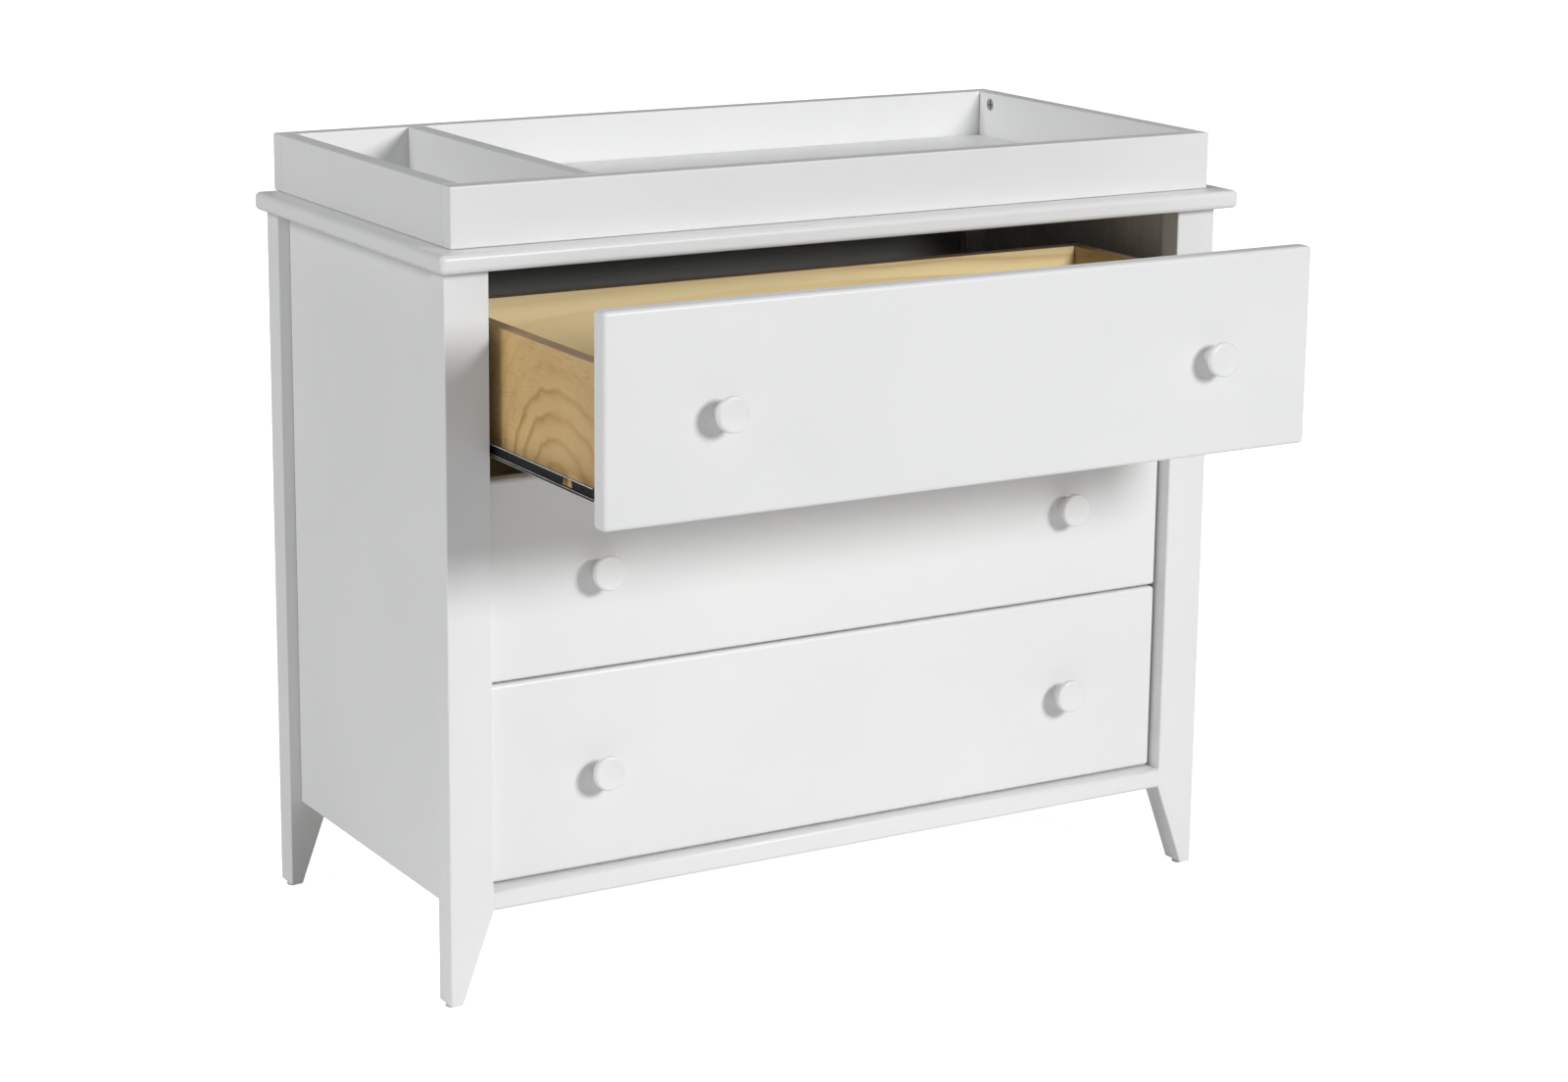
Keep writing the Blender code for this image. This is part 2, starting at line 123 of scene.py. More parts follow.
STRAP_SCREW_HEAD = (0.0032, 0.0014)
STRAP_SCREW_RISE = 0.005      # its two screws above and below the middle
STRAP_SCREW_FROM_END = 0.012
STOP_HALF = 0.0040            # half height of the plastic stop in the member's rear end
CAGE_SHEET = 0.0006
BALL_RADIUS = 0.0019
BALLS_IN_ROW = 6

# ---------------------------------------------------------------- camera and light
CAMERA_PLACE = (-1.9194, -3.2008, 1.3692)
CAMERA_AZIMUTH = -30.606
CAMERA_ELEVATION = 12.916
CAMERA_ROLL = 0.608
CAMERA_LENS = 80.44
CAMERA_SHIFT_Y = -0.05
KEY_AZIMUTH = 16.5            # the key light stands this far right of the front's normal
KEY_ELEVATION = 20.7          # as seen from the middle of the drawer fronts
KEY_DISTANCE = 3.0
KEY_STRENGTH = 2.11           # what it gives there, in watts to the square metre
KEY_ACROSS = 0.75
SIDE_AZIMUTH = -90.5
SIDE_ELEVATION = 30.0
SIDE_STRENGTH = 1.28
SIDE_SOFTNESS = 24.0
SKY_STRENGTH = 0.190
SKY_TINT = (0.98, 1.0, 1.02, 1.0)
BACKDROP = 1.03               # how bright the empty studio looks above the floor's horizon
FLOOR_REACH = 32.0
BOUNCE_MUTED = 0.70           # how much of the pine's tint its bounced light loses
FLOOR_GLOW = 0.85             # lifts the floor to near white without lighting the furniture


# ---------------------------------------------------------------- materials
class Graph:
    """Short calls for the nodes of one Principled material."""

    def __init__(self, name, roughness, metallic=0.0, **constants):
        self.material = bpy.data.materials.new(name)
        self.material.use_nodes = True
        self.tree = self.material.node_tree
        self.shader = self.tree.nodes["Principled BSDF"]
        self.shader.inputs["Roughness"].default_value = roughness
        self.shader.inputs["Metallic"].default_value = metallic
        for socket, value in constants.items():
            self.shader.inputs[socket.replace("_", " ")].default_value = value
        self.place = self.node("ShaderNodeTexCoord").outputs["Object"]

    def node(self, kind, settings=None, **sockets):
        node = self.tree.nodes.new(kind)
        for key, value in (settings or {}).items():
            setattr(node, key, value)
        for key, value in sockets.items():
            self.feed(node.inputs[int(key[1:]) if key[1:].isdigit() else key.replace("_", " ")], value)
        return node

    def feed(self, socket, value):
        if isinstance(value, bpy.types.NodeSocket):
            self.tree.links.new(value, socket)
        else:
            socket.default_value = value

    def maths(self, operation, first, second=0.0):
        node = self.node("ShaderNodeMath", {"operation": operation}, i0=first, i1=second)
        return node.outputs[0]

    def noise(self, scale, detail=2.0, stretch=(1.0, 1.0, 1.0), vector=None, roughness=0.5):
        """Noise with `scale` features to the metre, drawn out by dividing each axis by its stretch."""
        scaled = self.node("ShaderNodeMapping", Vector=vector or self.place,
                           Scale=tuple(1.0 / value for value in stretch))
        node = self.node("ShaderNodeTexNoise", Vector=scaled.outputs[0], Scale=scale,
                         Detail=detail, Roughness=roughness)
        return node.outputs["Fac"]

    def ramp(self, factor, stops):
        """A colour ramp; a stop's second item is a grey or a colour."""
        node = self.node("ShaderNodeValToRGB", Fac=factor)
        elements = node.color_ramp.elements
        while len(elements) < len(stops):
            elements.new(0.5)
        for element, (position, value) in zip(elements, stops):
            element.position = position
            element.color = (*value, 1.0) if isinstance(value, tuple) else (value, value, value, 1.0)
        return node.outputs["Color"]

    def spread(self, value, low, high, from_low=0.0, from_high=1.0):
        node = self.node("ShaderNodeMapRange", Value=value, From_Min=from_low, From_Max=from_high,
                         To_Min=low, To_Max=high)
        return node.outputs["Result"]

    def mix(self, factor, first, second, blend="MIX"):
        node = self.node("ShaderNodeMix", {"data_type": "RGBA", "blend_type": blend}, i0=factor)
        self.feed(node.inputs[6], first)
        self.feed(node.inputs[7], second)
        return node.outputs[2]

    def bump(self, height, distance, strength=1.0):
        node = self.node("ShaderNodeBump", Height=height, Distance=distance, Strength=strength)
        self.feed(self.shader.inputs["Normal"], node.outputs["Normal"])

    def colour(self, value):
        self.feed(self.shader.inputs["Base Color"], value)

    def muted_bounce(self, value, base):
        """A colour that lends its neighbours only part of its tint: diffuse rays see it greyer."""
        grey = 0.2126 * base[0] + 0.7152 * base[1] + 0.0722 * base[2]
        bounced = self.node("ShaderNodeLightPath").outputs["Is Diffuse Ray"]
        return self.mix(self.maths("MULTIPLY", bounced, BOUNCE_MUTED), value, (grey, grey, grey, 1.0))

    def roughness(self, value):
        self.feed(self.shader.inputs["Roughness"], value)


def satin_paint(name, grain_axis=None):
    """Sprayed white satin paint: a faint orange peel, and under it the grain of solid wood."""
    graph = Graph(name, roughness=0.4, Coat_Weight=0.12, Coat_Roughness=0.22)
    cloud = graph.noise(5.0, detail=4.0)
    graph.colour(graph.ramp(cloud, [(0.30, (0.800, 0.802, 0.806)), (0.72, (0.826, 0.827, 0.828))]))
    peel = graph.noise(620.0, detail=1.5)
    graph.roughness(graph.spread(graph.maths("ADD", cloud, peel), 0.36, 0.50, 0.6, 1.4))
    height = peel
    if grain_axis is not None:
        stretch = [1.0, 1.0, 1.0]
        stretch[grain_axis] = 38.0
        fibres = graph.noise(300.0, detail=3.0, stretch=stretch, roughness=0.65)
        height = graph.maths("ADD", peel, graph.maths("MULTIPLY", fibres, 1.6))
    graph.bump(height, 0.00006, 0.6)
    return graph.material


WANDER = 0.026                # how far the growth rings stray, slowly
RIPPLE = 0.010                # and in short waves
HAIR_PITCH = 0.19             # fine lines between the rings, as a share of the rings' pitch
HAIR_SHADE = 0.30             # how dark they get beside the rings
DASH_SHADE = 0.75             # how dark the pores' dashes get outside the arches
FIBRE_DRAWN = 11.0            # how much longer than wide the fibres are


def grain_space(graph, along, across, heart, stretch):
    """Where a point lies from the arches' heart: along, up and into the face, and as the rings see it."""
    split = graph.node("ShaderNodeSeparateXYZ", Vector=graph.place).outputs
    through = 3 - along - across
    run = graph.maths("SUBTRACT", split[along], heart[along])
    rise = graph.maths("SUBTRACT", split[across], heart[across])
    depth = graph.maths("MULTIPLY", graph.maths("SUBTRACT", split[through], heart[through]), 0.2)
    before = graph.maths("DIVIDE", graph.maths("MINIMUM", run, 0.0), stretch[0])
    behind = graph.maths("DIVIDE", graph.maths("MAXIMUM", run, 0.0), stretch[1])
    drawn_in = graph.maths("ADD", before, behind)
    flat = graph.node("ShaderNodeCombineXYZ", X=drawn_in, Y=rise, Z=depth).outputs[0]
    return run, rise, depth, flat


def late_wood(graph, run, flat, reach, pitch, strong):
    """The dark late wood: patchy rings, strong near the heart, and hairs between them."""
    wander = graph.maths("MULTIPLY", graph.maths("SUBTRACT", graph.noise(14.0, vector=flat), 0.5), WANDER)
    ripple = graph.maths("MULTIPLY", graph.maths("SUBTRACT", graph.noise(55.0, vector=flat), 0.5), RIPPLE)
    rings = graph.maths("ADD", graph.maths("ADD", reach, wander), ripple)
    phase = graph.maths("FRACT", graph.maths("DIVIDE", rings, pitch))
    band = graph.ramp(phase, [(0.0, 0.0), (0.46, 0.04), (0.68, 0.50), (0.80, 1.0), (0.90, 0.60), (1.0, 0.0)])
    fade = graph.spread(reach, 1.0, 0.28, strong, strong * 1.25)
    patch = graph.maths("MULTIPLY", graph.spread(graph.noise(15.0, vector=flat), 0.50, 1.0, 0.36, 0.60),
                        graph.spread(run, 0.62, 1.0, -0.02, 0.03))
    hairs = graph.ramp(graph.maths("FRACT", graph.maths("DIVIDE", rings, pitch * HAIR_PITCH)),
                       [(0.0, 0.0), (0.55, 0.0), (0.80, 1.0), (1.0, 0.0)])
    hair_patch = graph.spread(graph.noise(24.0, vector=flat), 0.0, HAIR_SHADE, 0.48, 0.66)
    late = graph.maths("MULTIPLY", graph.maths("MULTIPLY", band, fade), patch)
    return graph.maths("MAXIMUM", late, graph.maths("MULTIPLY", hairs, hair_patch))


def pine(name, along, across, figure, tones):
    """Clear-lacquered pine: growth rings drawn out into nested arches, and fine fibres along the grain.

    along and across are the axes (0 to 2) of the grain and of the face's height. figure holds the
    point of the face that is the arches' heart, how much longer than high an arch is on either side
    of it, the rings' pitch, and how far out the rings stay strong. tones are pale, middle and late.
    """
    heart, stretch, pitch, strong = figure
    pale, middle, late_tone = tones
    graph = Graph(name, roughness=0.5, Coat_Weight=0.10, Coat_Roughness=0.35)
    run, rise, depth, flat = grain_space(graph, along, across, heart, stretch)
    reach = graph.node("ShaderNodeVectorMath", {"operation": "LENGTH"}, i0=flat).outputs["Value"]
    late = late_wood(graph, run, flat, reach, pitch, strong)

    fibre_place = graph.node("ShaderNodeCombineXYZ", X=run, Y=graph.maths("MULTIPLY", rise, FIBRE_DRAWN),
                             Z=graph.maths("MULTIPLY", depth, FIBRE_DRAWN)).outputs[0]
    fibres = graph.noise(150.0, detail=3.0, vector=fibre_place, roughness=0.6)
    dashes = graph.spread(graph.noise(50.0, detail=3.0, vector=fibre_place), 0.0, 1.0, 0.55, 0.68)
    outside = graph.spread(reach, 0.15, 0.75, strong * 0.95, strong * 1.15)
    dashes = graph.maths("MULTIPLY", dashes, graph.maths("MULTIPLY", outside, DASH_SHADE))

    broad = graph.noise(6.0, vector=flat)
    dash_tone = tuple(1.05 * value for value in late_tone)
    fibre_tone = tuple(0.80 * value for value in middle)
    wood = graph.mix(graph.spread(broad, 0.0, 1.0, 0.38, 0.62), (*pale, 1.0), (*middle, 1.0))
    # Painted light: darker before the arches' heart and paler past it along the grain, which lifts the box
    # sides' rear beside the posts, where they lie in shade.
    wood = graph.mix(1.0, wood, graph.spread(run, 0.93, 1.10, -0.08, 0.12), blend="MULTIPLY")
    wood = graph.mix(late, wood, (*late_tone, 1.0))
    wood = graph.mix(dashes, wood, (*dash_tone, 1.0))
    wood = graph.mix(graph.spread(fibres, 0.20, 0.0, 0.34, 0.54), wood, (*fibre_tone, 1.0))
    graph.colour(graph.muted_bounce(wood, middle))
    graph.roughness(graph.spread(fibres, 0.44, 0.62))
    graph.bump(graph.maths("SUBTRACT", fibres, graph.maths("MULTIPLY", late, 0.35)), 0.00010, 0.5)
    return graph.material


def ply_edge(name, through, along, face):
    """A sanded plywood edge: thin layers across the board, streaked along it.

    through is the axis across the board's thickness, and face is where the board starts on it.
    """
    graph = Graph(name, roughness=0.62)
    split = graph.node("ShaderNodeSeparateXYZ", Vector=graph.place).outputs
    layer = graph.maths("DIVIDE", graph.maths("SUBTRACT", split[through], face), PLY_LAYER)
    shake = graph.noise(120.0, detail=2.0)
    band = graph.maths("PINGPONG", graph.maths("ADD", layer, graph.maths("MULTIPLY", shake, 0.35)), 1.0)
    stretch = [1.0, 1.0, 1.0]
    stretch[along] = 14.0
    streaks = graph.noise(260.0, detail=3.0, stretch=stretch, roughness=0.6)
    base = graph.ramp(band, [(0.25, (0.50, 0.345, 0.205)), (0.75, (0.57, 0.405, 0.240))])
    graph.colour(graph.mix(graph.spread(streaks, 0.0, 0.6, 0.3, 0.7), base, (0.39, 0.262, 0.155, 1.0)))
    graph.bump(graph.maths("ADD", band, streaks), 0.00015, 0.7)
    return graph.material


def raw_board(name, along, colour, contrast=1.0):
    """Unpainted panel wood inside the carcass, with long dull grain."""
    graph = Graph(name, roughness=0.75)
    stretch = [1.0, 1.0, 1.0]
    stretch[along] = 16.0
    fibres = graph.noise(110.0, detail=6.0, stretch=stretch, roughness=0.6)
    broad = graph.noise(9.0, detail=2.0, stretch=stretch)
    dark = tuple((1.0 - 0.20 * contrast) * value for value in colour)
    light = tuple((1.0 + 0.12 * contrast) * value for value in colour)
    streaked = graph.ramp(fibres, [(0.32, dark), (0.52, colour), (0.70, light)])
    graph.colour(graph.mix(graph.spread(broad, 0.0, 0.5, 0.3, 0.7), streaked, (*dark, 1.0)))
    graph.bump(fibres, 0.0003, 0.6)
    return graph.material


def black_steel(name):
    """Steel with a black baked coat: slightly mottled, with faint rolling lines along it."""
    graph = Graph(name, roughness=0.55, Specular_IOR_Level=0.20)
    lines = graph.noise(900.0, detail=2.0, stretch=(1.0, 60.0, 1.0))
    mottle = graph.noise(70.0, detail=4.0)
    graph.colour(graph.ramp(mottle, [(0.35, (0.010, 0.0102, 0.0105)), (0.70, (0.017, 0.0175, 0.018))]))
    graph.roughness(graph.spread(graph.maths("ADD", lines, mottle), 0.48, 0.64, 0.6, 1.4))
    graph.bump(lines, 0.00003, 0.5)
    return graph.material


def bright_steel(name, colour=(0.78, 0.78, 0.775), roughness=0.24, along=1):
    """Zinc-plated or sheared steel: fine scratches along it and a patchy gloss."""
    graph = Graph(name, roughness=roughness, metallic=1.0)
    stretch = [1.0, 1.0, 1.0]
    stretch[along] = 40.0
    scratches = graph.noise(1500.0, detail=2.0, stretch=stretch)
    patches = graph.noise(160.0, detail=3.0)
    dull = tuple(0.74 * value for value in colour)
    graph.colour(graph.ramp(patches, [(0.32, dull), (0.66, colour)]))
    graph.roughness(graph.spread(scratches, roughness * 0.75, roughness * 1.6, 0.3, 0.7))
    graph.bump(scratches, 0.00002, 0.4)
    return graph.material


def moulded_plastic(name, colour, roughness=0.48):
    """Moulded plastic with a fine spark-eroded texture."""
    graph = Graph(name, roughness=roughness)
    speckle = graph.noise(1400.0, detail=2.0)
    shade = tuple(0.9 * value for value in colour)
    graph.colour(graph.ramp(speckle, [(0.35, shade), (0.65, colour)]))
    graph.roughness(graph.spread(speckle, roughness - 0.08, roughness + 0.1, 0.3, 0.7))
    graph.bump(speckle, 0.00004, 0.6)
    return graph.material


PAINT = satin_paint("white_paint")
PAINT_GRAIN_X = satin_paint("white_paint_on_wood_x", grain_axis=0)
PAINT_GRAIN_Y = satin_paint("white_paint_on_wood_y", grain_axis=1)
PAINT_GRAIN_Z = satin_paint("white_paint_on_wood_z", grain_axis=2)
RAW_UPRIGHT = raw_board("raw_wood_upright", along=2, colour=(0.86, 0.85, 0.83), contrast=0.35)
RAW_LONG = raw_board("raw_wood_long", along=0, colour=(0.56, 0.46, 0.32))
BACK_LINING = raw_board("back_panel_lining", along=0, colour=(0.40, 0.40, 0.39), contrast=0.6)
BLACK = black_steel("black_steel")
# Bright steel for the runners' sheared ends, also laid on the drawer members' lips and lower bend as a
# painted highlight.
BARE_EDGE_AND_HIGHLIGHT = bright_steel("bare_steel_edge_and_painted_highlight", colour=(0.90, 0.90, 0.89), roughness=0.55)
ZINC = bright_steel("zinc_plate", colour=(0.66, 0.67, 0.68), roughness=0.28)
CAM_ZINC = bright_steel("cam_zinc", colour=(0.46, 0.46, 0.46), roughness=0.42)
SCREW_STEEL = bright_steel("screw_zinc", colour=(0.60, 0.60, 0.61), roughness=0.30)
GLIDE_PLASTIC = moulded_plastic("glide_plastic", (0.60, 0.60, 0.59))
STOP_PLASTIC = moulded_plastic("stop_plastic", (0.62, 0.63, 0.62), 0.42)


# ---------------------------------------------------------------- shapes
def add_board(shape, low, high, rounding=0.0, segments=4, ends_too=True):
    """A board between two corners with its edges rounded, or only those along X."""
    low, high = Vector(low), Vector(high)
    place = Matrix.Translation((low + high) / 2) @ Matrix.Diagonal((*(high - low), 1.0))
    corners = bmesh.ops.create_cube(shape, size=1.0, matrix=place)["verts"]
    if rounding:
        edges = {edge for corner in corners for edge in corner.link_edges}
        if not ends_too:
            edges = {edge for edge in edges if edge.verts[0].co.x != edge.verts[1].co.x}
        bmesh.ops.bevel(shape, geom=list(edges), offset=rounding, segments=segments, profile=0.5,
                        affect="EDGES")


def add_prism(shape, outline, y_low, y_high, rounding=0.0, segments=3):
    """An XZ outline drawn out along Y, with its edges rounded."""
    near = [shape.verts.new((x, y_low, z)) for x, z in outline]
    far = [shape.verts.new((x, y_high, z)) for x, z in outline]
    faces = [shape.faces.new(near), shape.faces.new(far[::-1])]
    for index, vert in enumerate(near):
        after = (index + 1) % len(near)
        faces.append(shape.faces.new((vert, near[after], far[after], far[index])))
    bmesh.ops.recalc_face_normals(shape, faces=faces)
    if rounding:
        edges = list({edge for face in faces for edge in face.edges})
        bmesh.ops.bevel(shape, geom=edges, offset=rounding, segments=segments, profile=0.5, affect="EDGES")


def add_turned(shape, profile, place, steps=32, lift=None):
    """A (radius, height) profile turned about place's Z axis. lift(radius, angle) moves points along it."""
    rings = []
    for radius, height in profile:
        ring = []
        for step in range(steps if radius else 1):
            angle = 2 * math.pi * step / steps
            rise = height + (lift(radius, height, angle) if lift else 0.0)
            point = Vector((radius * math.cos(angle), radius * math.sin(angle), rise))
            ring.append(shape.verts.new(place @ point))
        rings.append(ring)
    faces = []
    for upper, lower in zip(rings, rings[1:]):
        for step in range(steps):
            after = step + 1
            corners = [upper[step % len(upper)], upper[after % len(upper)],
                       lower[after % len(lower)], lower[step % len(lower)]]
            faces.append(shape.faces.new(list(dict.fromkeys(corners))))
    bmesh.ops.recalc_face_normals(shape, faces=faces)


def add_folded_sheet(shape, path, y_low, y_high, to_world, thickness=STEEL, bend=BEND, steps=4):
    """A strip of sheet metal folded along path, a line through the middle of its section."""
    points = [Vector(point) for point in path]
    stations = []
    ways = [(after - point).normalized() for point, after in zip(points, points[1:])]
    normals = [Vector((-way.y, way.x)) for way in ways]
    stations.append((points[0], normals[0]))
    for corner, way, next_way, normal, next_normal in zip(points[1:], ways, ways[1:], normals, normals[1:]):
        turn = way.angle_signed(next_way)
        side = -1.0 if way.cross(next_way) > 0 else 1.0
        start = corner - way * bend * math.tan(abs(turn) / 2)
        hub = start - normal * bend * side
        for step in range(steps + 1):
            leaning = normal.slerp(next_normal, step / steps)
            stations.append((hub + leaning * bend * side, leaning))
    stations.append((points[-1], normals[-1]))
    rows = []
    for point, leaning in stations:
        both = (point + leaning * thickness / 2, point - leaning * thickness / 2)
        rows.append([shape.verts.new(to_world(spot, y)) for y in (y_low, y_high) for spot in both])
    faces = []
    for row, after in zip(rows, rows[1:]):
        for first, second in ((0, 1), (1, 3), (3, 2), (2, 0)):
            faces.append(shape.faces.new((row[first], row[second], after[second], after[first])))
    for row in (rows[0], rows[-1]):
        faces.append(shape.faces.new((row[0], row[1], row[3], row[2])))
    bmesh.ops.recalc_face_normals(shape, faces=faces)


def arc(centre, radius, start, end, steps):
    """Points of an arc from start to end degrees."""
    angles = [math.radians(start + (end - start) * step / steps) for step in range(steps + 1)]
    return [(centre[0] + radius * math.cos(a), centre[1] + radius * math.sin(a)) for a in angles]


def facing(point, direction):
    """A place whose Z axis looks along direction."""
    return Matrix.Translation(Vector(point)) @ Vector(direction).to_track_quat("Z", "Y").to_matrix().to_4x4()


def make_piece(name, shape, materials, body, slot, *nodes, crisp=None):
    """Turns a shape into a piece that rides on a body and stands for CAD nodes."""
    mesh = bpy.data.meshes.new(name)
    shape.to_mesh(mesh)
    shape.free()
    for material in materials:
        mesh.materials.append(material)
    mesh.shade_smooth()
    piece = bpy.data.objects.new(name, mesh)
    bpy.context.scene.collection.objects.link(piece)
    if crisp is None:
        piece.modifiers.new("flat_faces", "WEIGHTED_NORMAL").keep_sharp = True
    else:
        mesh.set_sharp_from_angle(angle=math.radians(crisp))
    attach(piece, body)
    if nodes:
        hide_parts(*nodes)
    return piece


def carve(piece, tool_shape):
    """Cuts tool_shape out of a piece for good."""
    mesh = bpy.data.meshes.new("tool")
    tool_shape.to_mesh(mesh)
    tool_shape.free()
    tool = bpy.data.objects.new("tool", mesh)
    bpy.context.scene.collection.objects.link(tool)
    cut = piece.modifiers.new("cut", "BOOLEAN")
    cut.operation = "DIFFERENCE"
    cut.object = tool
    piece.modifiers.move(len(piece.modifiers) - 1, 0)
    others = [modifier for modifier in piece.modifiers if modifier != cut]
    for modifier in others:
        modifier.show_viewport = False
    bpy.context.view_layer.update()
    evaluated = piece.evaluated_get(bpy.context.evaluated_depsgraph_get())
    carved = bpy.data.meshes.new_from_object(evaluated)
    if not carved.polygons:
        raise RuntimeError(f"the cut left nothing of {piece.name}")
    carved.name = piece.name
    piece.modifiers.remove(cut)
    for modifier in others:
        modifier.show_viewport = True
    piece.data = carved
    bpy.data.objects.remove(tool, do_unlink=True)


def give_faces(piece, index, chosen):
    """Gives material number index to the faces for which chosen(centre, normal) is true."""
    for face in piece.data.polygons:
        if chosen(face.center, face.normal):
            face.material_index = index


def add_cross_head(shape, place, radius, height, recess=None):
    """A pan head with a cross recess; place is the middle of the face it sits on."""
    recess = recess or radius * 0.6
    profile = [(0.0, height), (radius * 0.16, height), (radius * 0.30, height), (recess * 0.98, height)]
    profile += [(recess * 1.12, height * 0.985)]
    profile += [(radius * 0.82, height * 0.86), (radius * 0.95, height * 0.55), (radius, height * 0.2)]
    profile += [(radius, 0.0), (0.0, 0.0)]

    def pressed(at, level, angle):
        arm = abs(math.sin(2 * angle)) < 0.36
        inside = level > height * 0.97 and (at < radius * 0.2 or (at < recess and arm))
        return -min(height * 0.7, radius * 0.5) if inside else 0.0

    add_turned(shape, profile, place, steps=24, lift=pressed)


# ---------------------------------------------------------------- carcass
def make_posts():
    taper_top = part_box("front_apron")[0].z
    for end in ("front", "rear"):
        for side, sign in SIDES.items():
            node = f"post_{end}_{side}"
            low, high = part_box(node)
            outer = low.x if sign < 0 else high.x
            inner = high.x if sign < 0 else low.x
            outline = [(outer, low.z), (outer, high.z), (inner, high.z), (inner, taper_top),
                       (outer - sign * FOOT_WIDE, low.z)]
            shape = bmesh.new()
            add_prism(shape, outline, low.y, high.y, POST_ROUND)
            make_piece(node + "_finish", shape, [PAINT_GRAIN_Z], "carcass", "white_paint", node)


def make_glides():
    """Domed glides with a moulded rim and the head of the pin that holds them."""
    for end in ("front", "rear"):
        for side in SIDES:
            node = f"glide_{end}_{side}"
            low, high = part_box(node)
            radius = (high.x - low.x) / 2
            top = high.z - low.z
            profile = [(0.0, top), (radius * 0.80, top), (radius * 0.86, top * 0.82)]
            profile += arc((radius - 0.0009, top * 0.48), 0.0009, 70, -60, 6)
            profile += [(radius * 0.62, 0.0), (radius * 0.34, 0.0), (radius * 0.30, 0.0006), (0.0, 0.0006)]
            shape = bmesh.new()
            centre = ((low.x + high.x) / 2, (low.y + high.y) / 2, low.z)
            add_turned(shape, profile, Matrix.Translation(centre), steps=36)
            make_piece(node + "_finish", shape, [GLIDE_PLASTIC], "carcass", "glide_plastic", node, crisp=50)


def make_panels():
    for side, sign in SIDES.items():
        node = f"side_panel_{side}"
        shape = bmesh.new()
        add_board(shape, *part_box(node), PANEL_ROUND, 2)
        panel = make_piece(node + "_finish", shape, [PAINT, RAW_UPRIGHT], "carcass", "white_paint", node)
        give_faces(panel, 1, lambda centre, normal: normal.x * sign < -0.5)
    shape = bmesh.new()
    add_board(shape, *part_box("back_panel"), PANEL_ROUND / 2, 1)
    panel = make_piece("back_panel_finish", shape, [PAINT, BACK_LINING], "carcass", "white_paint",
                       "back_panel")
    give_faces(panel, 1, lambda centre, normal: normal.y < -0.5)


def make_top():
    """The dresser top; its underside is left raw inside the carcass."""
    low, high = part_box("dresser_top")
    shape = bmesh.new()
    add_board(shape, low, high, TOP_ROUND, 6)
    shape.faces.ensure_lookup_table()
    under = [face for face in shape.faces if face.normal.z < -0.99 and face.calc_area() > 0.1]
    panel_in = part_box("side_panel_left")[1].x
    bmesh.ops.inset_region(shape, faces=under, thickness=abs(low.x - panel_in) - TOP_ROUND, depth=0.0)
    top = make_piece("dresser_top_finish", shape, [PAINT, BACK_LINING], "carcass", "white_paint",
                     "dresser_top")
    give_faces(top, 1, lambda centre, normal: normal.z < -0.99 and abs(centre.x) < 0.01)


def make_rails():
    shape = bmesh.new()
    low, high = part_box("front_apron")
    into_posts = Vector((POST_ROUND, 0.0, 0.0))     # it closes against their rounded edges
    add_board(shape, low - into_posts, high + into_posts, APRON_ROUND, 5, ends_too=False)
    make_piece("front_apron_finish", shape, [PAINT_GRAIN_X], "carcass", "white_paint", "front_apron")
    shape = bmesh.new()
    add_board(shape, *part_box("rear_bottom_rail"), POST_ROUND)
    make_piece("rear_bottom_rail_finish", shape, [PAINT_GRAIN_X], "carcass", "white_paint",
               "rear_bottom_rail")
    shape = bmesh.new()
    add_board(shape, *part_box("top_front_rail"), POST_ROUND)
    make_piece("top_front_rail_finish", shape, [RAW_LONG], "carcass", "raw_wood", "top_front_rail")


def make_back_screws():
    """Small screws along the back panel's edges."""
    low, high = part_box("back_panel")
    edge = BACK_SCREW_EDGE
    spots = []
    for column in range(BACK_SCREW_COLUMNS):
        x = low.x + edge + (high.x - low.x - 2 * edge) * column / (BACK_SCREW_COLUMNS - 1)
        spots += [(x, low.z + edge), (x, high.z - edge)]
    for row in range(1, BACK_SCREW_ROWS - 1):
        z = low.z + edge + (high.z - low.z - 2 * edge) * row / (BACK_SCREW_ROWS - 1)
        spots += [(low.x + edge, z), (high.x - edge, z)]
    shape = bmesh.new()
    for x, z in spots:
        add_cross_head(shape, facing((x, high.y, z), (0, 1, 0)), *BACK_SCREW_HEAD)
    make_piece("back_panel_screws", shape, [SCREW_STEEL], "carcass", "zinc", crisp=35)


